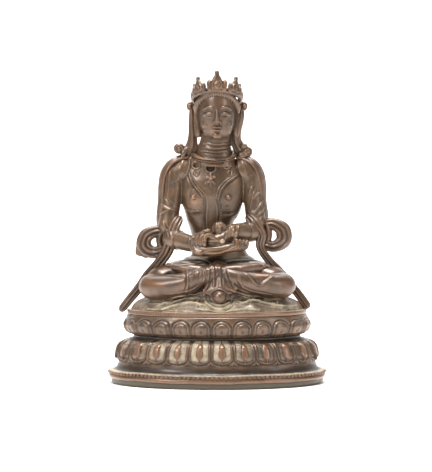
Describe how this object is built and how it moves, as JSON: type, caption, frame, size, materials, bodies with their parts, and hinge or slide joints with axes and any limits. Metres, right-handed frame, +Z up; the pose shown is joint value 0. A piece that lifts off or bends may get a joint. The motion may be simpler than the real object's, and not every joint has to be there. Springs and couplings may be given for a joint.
{
  "type": "seated figure on lotus base",
  "caption": "Crowned figure seated cross-legged on a double lotus base, hands cupped in the lap round a small jar, scarf looping out at the elbows; cast in one with its base.",
  "frame": {"origin": "centre of the flat underside of the base", "axes": "+Z up, from the base to the crown; the figure faces -Y; +X is the figure's left"},
  "size_m": [0.1264, 0.086, 0.1772],
  "materials": {
    "aged_bronze": "cast copper alloy with a dark brown patina, worn to a redder metal on what stands out, pale dirt in what lies deep"
  },
  "bodies": {
    "root": {"seated_figure_on_lotus_base": "aged_bronze"}
  },
  "joints": []
}
